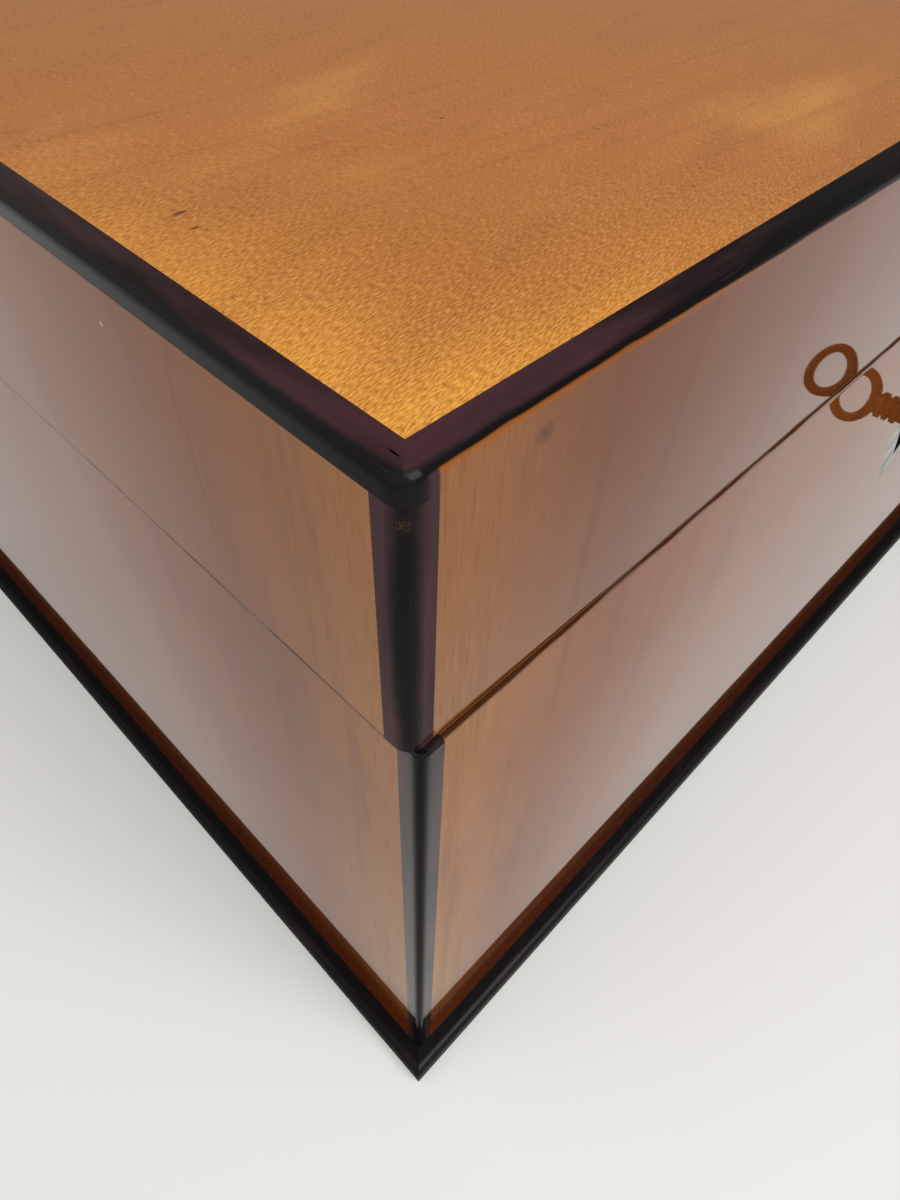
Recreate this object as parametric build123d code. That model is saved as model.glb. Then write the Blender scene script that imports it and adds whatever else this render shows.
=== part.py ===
from build123d import *
import math
import os

# Veneered wooden box with a hinged lid, a box lock and its key.
# Millimetres. The origin is the middle of the underside, X runs along the front to the right,
# Y from the front to the back, Z up.

# Overall sizes
BODY_WIDTH = 366.0  # over the veneer, along X
BODY_DEPTH = 262.0  # over the veneer, along Y
BODY_HEIGHT = 159.0  # plinth top to lid joint
LID_HEIGHT = 42.0  # lid joint to top face
PLINTH_HEIGHT = 7.0  # also the thickness of the bottom board behind it
PLINTH_REACH = 4.7  # how far the plinth stands out from the veneer

# The lid has worked a little to the left and back on its hinges
LID_SHIFT_X = -1.0
LID_SHIFT_Y = 1.0

# Boards and skins
BOARD = 10.0
LID_PANEL = 8.0
VENEER = 1.0
STRIP = 4.0  # corner strip, on each of its two faces
EDGING_TOP = 3.8
EDGING_SIDE = 3.2
BODY_ARRIS = 1.2
LID_ARRIS = 2.4
EDGING_ROUND = 1.6
PLINTH_ROUND = 2.2
JOINT_EASE = 0.4  # chamfer along both edges of the lid joint

# Dovetails
TAIL_PITCH = 32.0
PIN_WIDTH = 8.0  # pin at the board's end
TAIL_SLOPE = 1 / 7

# Nails through the bottom board
NAIL_PITCH = 90.0
NAIL_MARGIN = 40.0  # first nail from the box's corner
NAIL_LENGTH = 22.0
NAIL_HEAD_RADIUS = 2.0
NAIL_RADIUS = 0.8
NAIL_HEAD = 0.8
NAIL_SINK = 0.3

# Fits
LET_IN = 0.1  # gap round a plate that is let into wood
FIXED_FIT = 0.05  # radial gap round a screw, nail or fixed pin
RUNNING_FIT = 0.05  # radial gap of a pin that turns in its bore
OPEN_GAP = 0.3  # room between pieces that pass each other
CUT_OVER = 2.0  # how far a cut runs past the face it opens

# Hinges
HINGE_SPACING = 220.0
HINGE_LENGTH = 50.0
LEAF_WIDTH = 7.0  # pin axis to the leaf's front edge
LEAF = 1.4
KNUCKLE_RADIUS = 2.4
KNUCKLES = 5
KNUCKLE_GAP = 0.15
HINGE_PIN_RADIUS = 1.2
HINGE_PIN_INSET = 2.5  # pin axis in from the body's back face
STOP_BEVEL = 50.0  # degrees, on the body and on the lid, behind the pin axis
HINGE_SCREWS = 3
HINGE_SCREW_PITCH = 17.0

# Countersunk wood screws
SCREW_HEAD_RADIUS = 1.7
SCREW_HEAD = 1.1
SCREW_RADIUS = 0.9
SCREW_LENGTH = 8.0
SCREW_TIP = 2.0
SCREW_SLOT = 0.5
SCREW_SLOT_DEPTH = 0.4
SCREW_SINK = 0.1

# Lock
KEY_DROP = 48.5  # lid joint to key axis
LOCK_COVER = 2.0  # wood left in front of the lock
LOCK_PLATE = 1.2
PLATE_MARGIN = 6.0  # plate past the case on each side
LOCK_PLATE_FOOT = 17.0  # plate below the key axis
SELVEDGE = 1.6
CASE_ROOM = 1.0  # between the drawn bolt and the case
CASE_FOOT = 13.0  # case below the key axis
CASE_WALL = 0.8
LOCK_SCREW_EDGE = 3.0  # lock screw in from the plate's edge
LOCK_SCREW_HIGH = 14.0  # upper lock screws below the joint
DRILL_PIN_RADIUS = 1.4
DRILL_PIN_LENGTH = 8.0
PILLAR_RADIUS = 1.3
PILLAR_PLACES = (-8.0, 6.0)

# Bolt
THROW = 6.0
BOLT = 2.2
BOLT_EDGE = 4.6  # bolt's lower edge above the key axis
BOLT_LAND = 4.0  # metal above the talon, and above the guide slots
BOLT_END = 6.0  # metal beside the talon
POST = 5.0
TONGUE = 2.4
TONGUE_DROP = 6.0  # tongue's middle below the joint
TONGUE_GAP = 0.6

# Link plate in the lid
LINK = 1.4
LINK_LENGTH = 50.0
LINK_MARGIN = 0.5  # selvedge seen on each side of the link plate
LINK_SCREW_SPACING = 40.0
EYE_PLACES = (-11.0, 11.0)
EYE = 2.6
EYE_LENGTH = 9.0
EYE_HOLE_GAP = 0.4
EYE_SLOT_GAP = 0.6

# Key
STEM_RADIUS = 2.7
KEYHOLE_GAP = 0.2
BIT = 2.2
BIT_RADIUS = 8.0
KEY_END_GAP = 0.5
BOW_OUT = 17.5  # bow's middle out from the front
BOW_ACROSS = 15.4
BOW_ALONG = 12.8
BOW_BAND = 2.5
BOW_THICK = 3.4
BOW_ROUND = 1.0
COLLAR_RADIUS = 3.5
COLLAR = 1.4
COLLAR_OUT = (4.6, 7.2, 9.8)
KEY_TURNED = 25.0  # degrees the key stands turned from where its bit goes in

# Escutcheon
LOZENGE_WIDTH = 34.0
LOZENGE_HEIGHT = 48.0
LOZENGE_RISE = 2.5  # lozenge's middle above the key axis
LOZENGE_BORDER = 5.4

# Levels and planes that follow from the sizes above
Z_BODY = PLINTH_HEIGHT
Z_JOINT = Z_BODY + BODY_HEIGHT
Z_TOP = Z_JOINT + LID_HEIGHT
Z_PANEL = Z_TOP - VENEER - LID_PANEL
Z_EDGING = Z_TOP - EDGING_SIDE
HALF_WIDTH = BODY_WIDTH / 2
HALF_DEPTH = BODY_DEPTH / 2
CORE_WIDTH = HALF_WIDTH - VENEER
CORE_DEPTH = HALF_DEPTH - VENEER
LID_PLACE = (LID_SHIFT_X, LID_SHIFT_Y)
BODY_PLACE = (0.0, 0.0)
HINGE_Y = HALF_DEPTH - HINGE_PIN_INSET
HINGE_PLACES = {"left": -HINGE_SPACING / 2, "right": HINGE_SPACING / 2}
KEY_Z = Z_JOINT - KEY_DROP
Y_FACE = -HALF_DEPTH
Y_INSIDE = -CORE_DEPTH + BOARD
Y_PLATE = Y_INSIDE - LOCK_PLATE
Y_CAP = -CORE_DEPTH + LOCK_COVER
Y_BOLT = (Y_CAP + CASE_WALL + Y_PLATE) / 2
EYE_WIDTH = Y_PLATE - Y_CAP - CASE_WALL - 2 * EYE_SLOT_GAP
LINK_WIDTH = Y_INSIDE - Y_CAP - 2 * LINK_MARGIN
BOLT_REACH = EYE / 2 + TONGUE_GAP + THROW + OPEN_GAP + POST - EYE_PLACES[0]
CASE_WIDTH = 2 * (BOLT_REACH + CASE_ROOM + CASE_WALL)
LOCK_PLATE_WIDTH = CASE_WIDTH + 2 * PLATE_MARGIN
BOLT_REST = THROW * KEY_TURNED / 360
Z_TALON = KEY_Z + BIT_RADIUS + OPEN_GAP
Z_GUIDE = Z_TALON + BOLT_LAND
Z_BAR = Z_GUIDE + BOLT_LAND
CORNERS = {"front_left": (-1, -1), "front_right": (1, -1), "back_left": (-1, 1), "back_right": (1, 1)}


def span(middle, size):
    """Low and high value of a stretch about its middle."""
    return (middle - size / 2, middle + size / 2)


def block(x, y, z):
    """Block between the low and high value of each pair."""
    middle = [(low + high) / 2 for low, high in (x, y, z)]
    size = [high - low for low, high in (x, y, z)]
    return Pos(*middle) * Box(*size)


def prism(points, along):
    """Solid that a flat outline sweeps along a vector."""
    return extrude(make_face(Polyline(*points, close=True)), Vector(along).length, dir=along)


def rod_x(radius, x, y, z):
    """Cylinder along X over the stretch x."""
    return Pos((x[0] + x[1]) / 2, y, z) * Rot(0, 90, 0) * Cylinder(radius, x[1] - x[0])


def rod_y(radius, x, y, z):
    """Cylinder along Y over the stretch y."""
    return Pos(x, (y[0] + y[1]) / 2, z) * Rot(90, 0, 0) * Cylinder(radius, y[1] - y[0])


def corner_blocks(place, z):
    """Square blocks of the corner strips of the body or the lid."""
    blocks = {}
    for corner, (side_x, side_y) in CORNERS.items():
        x = sorted((place[0] + side_x * HALF_WIDTH, place[0] + side_x * (HALF_WIDTH - STRIP)))
        y = sorted((place[1] + side_y * HALF_DEPTH, place[1] + side_y * (HALF_DEPTH - STRIP)))
        blocks[corner] = block(x, y, z)
    return blocks


def veneer_blocks(place, z):
    """Blocks of the four upright veneers, which run from strip to strip."""
    along_x = span(place[0], BODY_WIDTH - 2 * STRIP)
    along_y = span(place[1], BODY_DEPTH - 2 * STRIP)
    left, right = span(place[0], BODY_WIDTH)
    front, back = span(place[1], BODY_DEPTH)
    return {
        "front": block(along_x, (front, front + VENEER), z),
        "back": block(along_x, (back - VENEER, back), z),
        "left": block((left, left + VENEER), along_y, z),
        "right": block((right - VENEER, right), along_y, z),
    }


def mitred_blocks(place, half_width, half_depth, width, z):
    """Four lengths of a frame of one width, mitred at the corners."""
    outer = [(-half_width, -half_depth), (half_width, -half_depth)]
    outer += [(half_width, half_depth), (-half_width, half_depth)]
    signs = [(1, 1), (-1, 1), (-1, -1), (1, -1)]
    inner = [(x + sx * width, y + sy * width) for (x, y), (sx, sy) in zip(outer, signs)]
    blocks = {}
    for side, start in zip(("front", "right", "back", "left"), range(4)):
        end = (start + 1) % 4
        outline = (outer[start], outer[end], inner[end], inner[start])
        points = [(place[0] + x, place[1] + y, z[0]) for x, y in outline]
        blocks[side] = prism(points, (0, 0, z[1] - z[0]))
    return blocks


def stop_bevel(side):
    """Wedge taken off the back edge of the body (side -1) or the lid (side 1) behind the pin axis."""
    reach = HINGE_PIN_INSET + abs(LID_SHIFT_Y) + CUT_OVER
    drop = side * reach * math.tan(math.radians(STOP_BEVEL))
    end = -HALF_WIDTH - abs(LID_SHIFT_X) - CUT_OVER
    y_end = HINGE_Y + reach
    points = [(end, HINGE_Y, Z_JOINT), (end, y_end, Z_JOINT), (end, y_end, Z_JOINT + drop)]
    return prism(points, (-2 * end, 0, 0))


def body_form():
    """Outer form of the body: upright arrises and the eased joint edge."""
    form = Pos(0, 0, Z_BODY) * extrude(RectangleRounded(BODY_WIDTH, BODY_DEPTH, BODY_ARRIS), BODY_HEIGHT)
    form = chamfer(form.faces().sort_by(Axis.Z)[-1].edges(), JOINT_EASE)
    return form - stop_bevel(-1)


def lid_form():
    """Outer form of the lid: upright arrises, rounded top edge and the eased joint edge."""
    form = Pos(*LID_PLACE, Z_JOINT) * extrude(RectangleRounded(BODY_WIDTH, BODY_DEPTH, LID_ARRIS), LID_HEIGHT)
    form = fillet(form.faces().sort_by(Axis.Z)[-1].edges(), EDGING_ROUND)
    form = chamfer(form.faces().sort_by(Axis.Z)[0].edges(), JOINT_EASE)
    return form - stop_bevel(1)


def plinth_lengths():
    """Four mitred lengths of the plinth moulding, each with its upper outer edge rounded."""
    half_width, half_depth = HALF_WIDTH + PLINTH_REACH, HALF_DEPTH + PLINTH_REACH
    width = PLINTH_REACH + VENEER
    z = (0, PLINTH_HEIGHT)
    whole_x, whole_y = (-half_width, half_width), (-half_depth, half_depth)
    bars = {
        "front": (block(whole_x, (-half_depth, width - half_depth), z), Axis.X, Axis.Y, 0),
        "back": (block(whole_x, (half_depth - width, half_depth), z), Axis.X, Axis.Y, -1),
        "left": (block((-half_width, width - half_width), whole_y, z), Axis.Y, Axis.X, 0),
        "right": (block((half_width - width, half_width), whole_y, z), Axis.Y, Axis.X, -1),
    }
    mitres = mitred_blocks(BODY_PLACE, half_width, half_depth, width, z)
    lengths = {}
    for side, (bar, along, across, outer) in bars.items():
        upper = bar.faces().sort_by(Axis.Z)[-1].edges().filter_by(along)
        lengths[side] = fillet(upper.sort_by(across)[outer], PLINTH_ROUND) & mitres[side]
    return lengths


def tails(x, y_root, y_end, z):
    """Dovetail tails on one end of a side board, wider at the end than at the root."""
    count = max(1, round((z[1] - z[0]) / TAIL_PITCH))
    pitch = (z[1] - z[0]) / count
    at_end = (pitch - PIN_WIDTH) / 2
    at_root = at_end - abs(y_end - y_root) * TAIL_SLOPE
    joined = None
    for index in range(count):
        middle = z[0] + pitch * (index + 0.5)
        points = [(x[0], y_root, middle - at_root), (x[0], y_root, middle + at_root)]
        points += [(x[0], y_end, middle + at_end), (x[0], y_end, middle - at_end)]
        tail = prism(points, (x[1] - x[0], 0, 0))
        joined = tail if joined is None else joined + tail
    return joined


def wall_boards(place, z):
    """Four dovetailed core boards, rebated at the corners for the strips."""
    left, right = span(place[0], 2 * CORE_WIDTH)
    front, back = span(place[1], 2 * CORE_DEPTH)
    inner_front, inner_back = front + BOARD, back - BOARD
    boards = {
        "front": block((left, right), (front, inner_front), z),
        "back": block((left, right), (inner_back, back), z),
    }
    for side, x in (("left", (left, left + BOARD)), ("right", (right - BOARD, right))):
        front_tails = tails(x, inner_front, front, z)
        back_tails = tails(x, inner_back, back, z)
        boards["front"] -= front_tails
        boards["back"] -= back_tails
        boards[side] = block(x, (inner_front, inner_back), z) + front_tails + back_tails
    for corner in corner_blocks(place, z).values():
        boards = {side: board - corner for side, board in boards.items()}
    return boards


def wood_screw(extra=0.0, above=0.0):
    """Countersunk screw along -Z with its head's face at the origin, or with extra its hole."""
    head = SCREW_HEAD_RADIUS + extra
    shank = SCREW_RADIUS + extra
    outline = [(0, 0, above), (head, 0, above), (head, 0, 0), (shank, 0, -SCREW_HEAD)]
    outline += [(shank, 0, SCREW_TIP - SCREW_LENGTH), (0, 0, -SCREW_LENGTH - extra)]
    if above == 0:
        outline = outline[:1] + outline[2:]
    return revolve(make_face(Polyline(*outline, close=True)), Axis.Z)


def driven_screw():
    """Wood screw with its driving slot."""
    slot = Box(2 * SCREW_HEAD_RADIUS, SCREW_SLOT, 2 * SCREW_SLOT_DEPTH)
    return wood_screw() - slot


def screw_hole():
    """Hole for a wood screw, open above its head."""
    return wood_screw(FIXED_FIT, SCREW_SINK + CUT_OVER)


def hinge_screw_places(side):
    """Places of the hinge screws in the lower (side -1) or upper (side 1) leaves."""
    flip = Rot(0, 0, 0) if side < 0 else Rot(180, 0, 0)
    y = HINGE_Y - (LEAF_WIDTH + KNUCKLE_RADIUS + OPEN_GAP) / 2
    places = []
    for middle in HINGE_PLACES.values():
        for index in range(HINGE_SCREWS):
            x = middle + (index - (HINGE_SCREWS - 1) / 2) * HINGE_SCREW_PITCH
            places.append(Pos(x, y, Z_JOINT + side * SCREW_SINK) * flip)
    return places


def leaf_level(side):
    """Height span of the lower (side -1) or upper (side 1) leaves."""
    return tuple(sorted((Z_JOINT, Z_JOINT + side * LEAF)))


def hinge_leaf(middle, side):
    """One leaf of a butt hinge: the lower leaf has the odd knuckles, the upper leaf the even ones."""
    plate_edge = HINGE_Y - KNUCKLE_RADIUS - OPEN_GAP
    leaf = block(span(middle, HINGE_LENGTH), (HINGE_Y - LEAF_WIDTH, plate_edge), leaf_level(side))
    pitch = HINGE_LENGTH / KNUCKLES
    for index in range(0 if side < 0 else 1, KNUCKLES, 2):
        low = middle - HINGE_LENGTH / 2 + index * pitch
        x = (low + KNUCKLE_GAP / 2, low + pitch - KNUCKLE_GAP / 2)
        leaf += block(x, (plate_edge, HINGE_Y), leaf_level(side))
        leaf += rod_x(KNUCKLE_RADIUS, x, HINGE_Y, Z_JOINT)
    leaf -= rod_x(HINGE_PIN_RADIUS + RUNNING_FIT, span(middle, HINGE_LENGTH + CUT_OVER), HINGE_Y, Z_JOINT)
    for place in hinge_screw_places(side):
        leaf -= place * screw_hole()
    return leaf


def hinge_recess(side):
    """What the hinges take out of the body (side -1) or the lid (side 1)."""
    recess = stop_bevel(side)
    for middle in HINGE_PLACES.values():
        x = span(middle, HINGE_LENGTH + 2 * LET_IN)
        recess += block(x, (HINGE_Y - LEAF_WIDTH - LET_IN, HINGE_Y), leaf_level(side))
        recess += rod_x(KNUCKLE_RADIUS + OPEN_GAP, x, HINGE_Y, Z_JOINT)
    for place in hinge_screw_places(side):
        recess += place * screw_hole()
    return recess


def keyhole():
    """Keyhole through the front: a round hole for the stem and a slot below it for the bit."""
    y = (Y_FACE - CUT_OVER, Y_CAP + CASE_WALL + CUT_OVER)
    slot = block(span(0, BIT + 2 * KEYHOLE_GAP), y, (KEY_Z - BIT_RADIUS - KEYHOLE_GAP, KEY_Z))
    return slot + rod_y(STEM_RADIUS + KEYHOLE_GAP, 0, y, KEY_Z)


def lozenge(half_width, half_height):
    """Lozenge as thick as the veneer, let into the front face."""
    middle = KEY_Z + LOZENGE_RISE
    points = [(-half_width, Y_FACE, middle), (0, Y_FACE, middle + half_height)]
    points += [(half_width, Y_FACE, middle), (0, Y_FACE, middle - half_height)]
    return prism(points, (0, VENEER, 0))


def escutcheon():
    """Pale border and black centre of the escutcheon, and the whole lozenge for its seat."""
    wide, high = LOZENGE_WIDTH / 2, LOZENGE_HEIGHT / 2
    inscribed = wide * high / math.hypot(wide, high)
    share = (inscribed - LOZENGE_BORDER) / inscribed
    whole = lozenge(wide, high)
    centre = lozenge(wide * share, high * share)
    return whole - centre, centre - keyhole(), whole


def lock_screw_places():
    """Lock screws, driven from the inside into the front board."""
    x = LOCK_PLATE_WIDTH / 2 - LOCK_SCREW_EDGE
    heights = (Z_JOINT - LOCK_SCREW_HIGH, KEY_Z - LOCK_PLATE_FOOT + LOCK_SCREW_EDGE)
    turn = Rot(-90, 0, 0)
    return [Pos(side * x, Y_INSIDE - SCREW_SINK, z) * turn for side in (-1, 1) for z in heights]


def lock_plate():
    """Plate on the inside of the front board, with the selvedge on the rim."""
    plate = block(span(0, LOCK_PLATE_WIDTH), (Y_PLATE, Y_INSIDE), (KEY_Z - LOCK_PLATE_FOOT, Z_JOINT))
    plate += block(span(0, LOCK_PLATE_WIDTH), (Y_CAP, Y_INSIDE), (Z_JOINT - SELVEDGE, Z_JOINT))
    for x in EYE_PLACES:
        slot_x = span(x, EYE + 2 * EYE_SLOT_GAP)
        slot_y = span(Y_BOLT, EYE_WIDTH + 2 * EYE_SLOT_GAP)
        plate -= block(slot_x, slot_y, (Z_JOINT - SELVEDGE, Z_JOINT))
    plate -= rod_y(DRILL_PIN_RADIUS + FIXED_FIT, 0, (Y_PLATE, Y_INSIDE), KEY_Z)
    for place in lock_screw_places():
        plate -= place * screw_hole()
    return plate


def lock_cap():
    """Shallow case over the works, open towards the plate and under the selvedge."""
    z = (KEY_Z - CASE_FOOT, Z_JOINT - SELVEDGE)
    cap = block(span(0, CASE_WIDTH), (Y_CAP, Y_PLATE), z)
    inner_x = span(0, CASE_WIDTH - 2 * CASE_WALL)
    cap -= block(inner_x, (Y_CAP + CASE_WALL, Y_PLATE), (z[0] + CASE_WALL, z[1]))
    return cap - keyhole()


def lock_mortise():
    """What the lock takes out of the front board."""
    plate_x = span(0, LOCK_PLATE_WIDTH + 2 * LET_IN)
    plate_z = (KEY_Z - LOCK_PLATE_FOOT - LET_IN, Z_JOINT)
    case_x = span(0, CASE_WIDTH + 2 * LET_IN)
    case_z = (KEY_Z - CASE_FOOT - LET_IN, Z_JOINT)
    mortise = block(plate_x, (Y_PLATE, Y_INSIDE), plate_z)
    mortise += block(plate_x, (Y_CAP, Y_INSIDE), (Z_JOINT - SELVEDGE, Z_JOINT))
    mortise += block(case_x, (Y_CAP, Y_INSIDE), case_z)
    for place in lock_screw_places():
        mortise += place * screw_hole()
    return mortise + keyhole()


def drill_pin():
    """Pin on the plate that the key's pipe turns on."""
    return rod_y(DRILL_PIN_RADIUS, 0, (Y_PLATE - DRILL_PIN_LENGTH, Y_INSIDE), KEY_Z)


def pillars():
    """Two pillars between plate and cap, which guide the bolt."""
    return [rod_y(PILLAR_RADIUS, x, (Y_CAP + CASE_WALL, Y_PLATE), Z_GUIDE) for x in PILLAR_PLACES]


def talon():
    """Gap in the bolt that the bit sweeps while the key turns once and the bolt makes its throw."""
    entry = math.acos(BOLT_EDGE / BIT_RADIUS)
    reach = BIT_RADIUS * math.sin(entry) + BIT / 2
    moved_in = THROW * (math.pi - entry) / (2 * math.pi)
    moved_out = THROW * (math.pi + entry) / (2 * math.pi)
    return (-reach - moved_in - OPEN_GAP, reach - moved_out + OPEN_GAP)


def lock_bolt():
    """Bolt that slides along X: a bar with the talon and guide slots, and two posts with tongues.

    It is shaped as drawn fully back, then moved as far as the turned key has brought it.
    """
    y = span(Y_BOLT, BOLT)
    talon_x = talon()
    posts = []
    for eye in EYE_PLACES:
        tip = eye - EYE / 2 - TONGUE_GAP
        root = tip - THROW - OPEN_GAP
        posts.append((root - POST, root, tip))
    tongue_z = span(Z_JOINT - TONGUE_DROP, TONGUE)
    bolt = block((posts[0][0], talon_x[1] + BOLT_END), y, (KEY_Z + BOLT_EDGE, Z_BAR))
    bolt -= block(talon_x, y, (KEY_Z + BOLT_EDGE, Z_TALON))
    for left, root, tip in posts:
        bolt += block((left, root), y, (Z_BAR, tongue_z[1]))
        bolt += block((root, tip), y, tongue_z)
    guide = PILLAR_RADIUS + RUNNING_FIT
    for x in PILLAR_PLACES:
        bolt -= block((x - THROW, x), y, span(Z_GUIDE, 2 * guide))
        bolt -= rod_y(guide, x, y, Z_GUIDE)
        bolt -= rod_y(guide, x - THROW, y, Z_GUIDE)
    return Pos(BOLT_REST, 0, 0) * bolt


def link_screw_places():
    """Link plate screws, driven up into the lid's front board."""
    places = [-LINK_SCREW_SPACING / 2, LINK_SCREW_SPACING / 2]
    return [Pos(x, Y_BOLT, Z_JOINT + SCREW_SINK) * Rot(180, 0, 0) for x in places]


def link_plate():
    """Plate in the lid's rim with two eyes that hang down into the lock."""
    plate = block(span(0, LINK_LENGTH), span(Y_BOLT, LINK_WIDTH), (Z_JOINT, Z_JOINT + LINK))
    hole_y = span(Y_BOLT, BOLT + 2 * EYE_HOLE_GAP)
    hole_z = span(Z_JOINT - TONGUE_DROP, TONGUE + 2 * EYE_HOLE_GAP)
    for x in EYE_PLACES:
        plate += block(span(x, EYE), span(Y_BOLT, EYE_WIDTH), (Z_JOINT - EYE_LENGTH, Z_JOINT))
        plate -= block(span(x, EYE), hole_y, hole_z)
    for place in link_screw_places():
        plate -= place * screw_hole()
    return plate


def link_recess():
    """What the link plate takes out of the lid's front board."""
    x = span(0, LINK_LENGTH + 2 * LET_IN)
    recess = block(x, span(Y_BOLT, LINK_WIDTH + 2 * LET_IN), (Z_JOINT, Z_JOINT + LINK))
    for place in link_screw_places():
        recess += place * screw_hole()
    return recess


def key():
    """Pipe key: oval bow, collared stem and a bit in the bow's plane, shaped bit down and then turned."""
    tip = Y_PLATE - KEY_END_GAP
    bow_y = Y_FACE - BOW_OUT
    outer = Ellipse(BOW_ALONG / 2, BOW_ACROSS / 2)
    inner = Ellipse(BOW_ALONG / 2 - BOW_BAND, BOW_ACROSS / 2 - BOW_BAND)
    ring = extrude(outer - inner, BOW_THICK / 2, both=True)
    ring = fillet(ring.edges().filter_by(GeomType.ELLIPSE), BOW_ROUND)
    bow = Plane(origin=(0, bow_y, KEY_Z), x_dir=(0, 1, 0), z_dir=(1, 0, 0)) * ring
    stem = rod_y(STEM_RADIUS, 0, (bow_y + BOW_ALONG / 2 - BOW_BAND / 2, tip), KEY_Z)
    for out in COLLAR_OUT:
        stem += rod_y(COLLAR_RADIUS, 0, span(Y_FACE - out, COLLAR), KEY_Z)
    bit_y = (Y_CAP + CASE_WALL + KEY_END_GAP, tip)
    bit = block(span(0, BIT), bit_y, (KEY_Z - BIT_RADIUS, KEY_Z))
    pipe_y = (Y_PLATE - DRILL_PIN_LENGTH - KEY_END_GAP, tip)
    pipe = rod_y(DRILL_PIN_RADIUS + RUNNING_FIT, 0, pipe_y, KEY_Z)
    turn = Pos(0, 0, KEY_Z) * Rot(0, KEY_TURNED, 0) * Pos(0, 0, -KEY_Z)
    return turn * (bow + stem + bit - pipe)


def nail_places():
    """Nails through the bottom board into the middle of the wall boards."""
    places = []
    for length, wall, along_x in ((BODY_WIDTH, CORE_DEPTH, True), (BODY_DEPTH, CORE_WIDTH, False)):
        count = int((length - 2 * NAIL_MARGIN) // NAIL_PITCH) + 1
        start = -(count - 1) * NAIL_PITCH / 2
        for index in range(count):
            along = start + index * NAIL_PITCH
            for side in (-1, 1):
                across = side * (wall - BOARD / 2)
                places.append(Pos(along, across, 0) if along_x else Pos(across, along, 0))
    return places


def nail(extra=0.0, below=0.0):
    """Nail pointing up with its head sunk in the underside, or with extra its hole."""
    head = (NAIL_SINK - below, NAIL_SINK + NAIL_HEAD + extra)
    top = NAIL_SINK + NAIL_LENGTH + extra
    shape = Pos(0, 0, (head[0] + head[1]) / 2) * Cylinder(NAIL_HEAD_RADIUS + extra, head[1] - head[0])
    return shape + Pos(0, 0, (head[1] + top) / 2) * Cylinder(NAIL_RADIUS + extra, top - head[1])


def nail_holes():
    """All nail holes as one cut."""
    holes = None
    for place in nail_places():
        hole = place * nail(FIXED_FIT, CUT_OVER)
        holes = hole if holes is None else holes + hole
    return holes


def body_pieces():
    """Boards, veneers, strips and plinth of the body."""
    z = (Z_BODY, Z_JOINT)
    pieces = {}
    form = body_form()
    holes = nail_holes()
    hinges = hinge_recess(-1)
    border, centre, seat = escutcheon()
    for side, board in wall_boards(BODY_PLACE, z).items():
        pieces[f"body_{side}_board"] = board - holes - hinges
    pieces["body_front_board"] -= lock_mortise()
    x, y = span(0, 2 * CORE_WIDTH), span(0, 2 * CORE_DEPTH)
    pieces["bottom_board"] = block(x, y, (0, PLINTH_HEIGHT)) - holes
    for side, veneer in veneer_blocks(BODY_PLACE, z).items():
        pieces[f"body_{side}_veneer"] = (form & veneer) - hinges
    pieces["body_front_veneer"] -= seat
    for corner, strip in corner_blocks(BODY_PLACE, z).items():
        pieces[f"body_corner_strip_{corner}"] = form & strip
    for side, length in plinth_lengths().items():
        pieces[f"plinth_{side}"] = length
    pieces["bottom_nails"] = [place * nail() for place in nail_places()]
    pieces["escutcheon_border"] = border
    pieces["escutcheon_centre"] = centre
    return pieces


def lid_pieces():
    """Boards, veneers, strips and edging of the lid."""
    pieces = {}
    form = lid_form()
    hinges = hinge_recess(1)
    for side, board in wall_boards(LID_PLACE, (Z_JOINT, Z_PANEL)).items():
        pieces[f"lid_{side}_board"] = board - hinges
    pieces["lid_front_board"] -= link_recess()
    x, y = span(LID_SHIFT_X, 2 * CORE_WIDTH), span(LID_SHIFT_Y, 2 * CORE_DEPTH)
    panel = block(x, y, (Z_PANEL, Z_TOP - VENEER))
    edging = mitred_blocks(LID_PLACE, HALF_WIDTH, HALF_DEPTH, EDGING_TOP, (Z_EDGING, Z_TOP))
    for side, length in edging.items():
        panel -= length
        pieces[f"lid_edging_{side}"] = form & length
    for corner, strip in corner_blocks(LID_PLACE, (Z_JOINT, Z_EDGING)).items():
        panel -= strip
        pieces[f"lid_corner_strip_{corner}"] = form & strip
    pieces["lid_top_board"] = panel
    for side, veneer in veneer_blocks(LID_PLACE, (Z_JOINT, Z_EDGING)).items():
        pieces[f"lid_{side}_veneer"] = (form & veneer) - hinges
    x = span(LID_SHIFT_X, BODY_WIDTH - 2 * EDGING_TOP)
    y = span(LID_SHIFT_Y, BODY_DEPTH - 2 * EDGING_TOP)
    pieces["lid_top_veneer"] = block(x, y, (Z_TOP - VENEER, Z_TOP))
    return pieces


def hinge_pieces():
    """Leaves, pins and screws of the two hinges."""
    pieces = {}
    for name, middle in HINGE_PLACES.items():
        pieces[f"hinge_{name}_lower_leaf"] = hinge_leaf(middle, -1)
        pieces[f"hinge_{name}_upper_leaf"] = hinge_leaf(middle, 1)
        pieces[f"hinge_{name}_pin"] = rod_x(HINGE_PIN_RADIUS, span(middle, HINGE_LENGTH), HINGE_Y, Z_JOINT)
    pieces["hinge_screws_lower"] = [place * driven_screw() for place in hinge_screw_places(-1)]
    pieces["hinge_screws_upper"] = [place * driven_screw() for place in hinge_screw_places(1)]
    return pieces


def lock_pieces():
    """Lock, link plate and key."""
    return {
        "lock_plate": lock_plate(),
        "lock_cap": lock_cap(),
        "lock_drill_pin": drill_pin(),
        "lock_pillars": pillars(),
        "lock_bolt": lock_bolt(),
        "lock_screws": [place * driven_screw() for place in lock_screw_places()],
        "link_plate": link_plate(),
        "link_plate_screws": [place * driven_screw() for place in link_screw_places()],
        "key": key(),
    }


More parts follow.
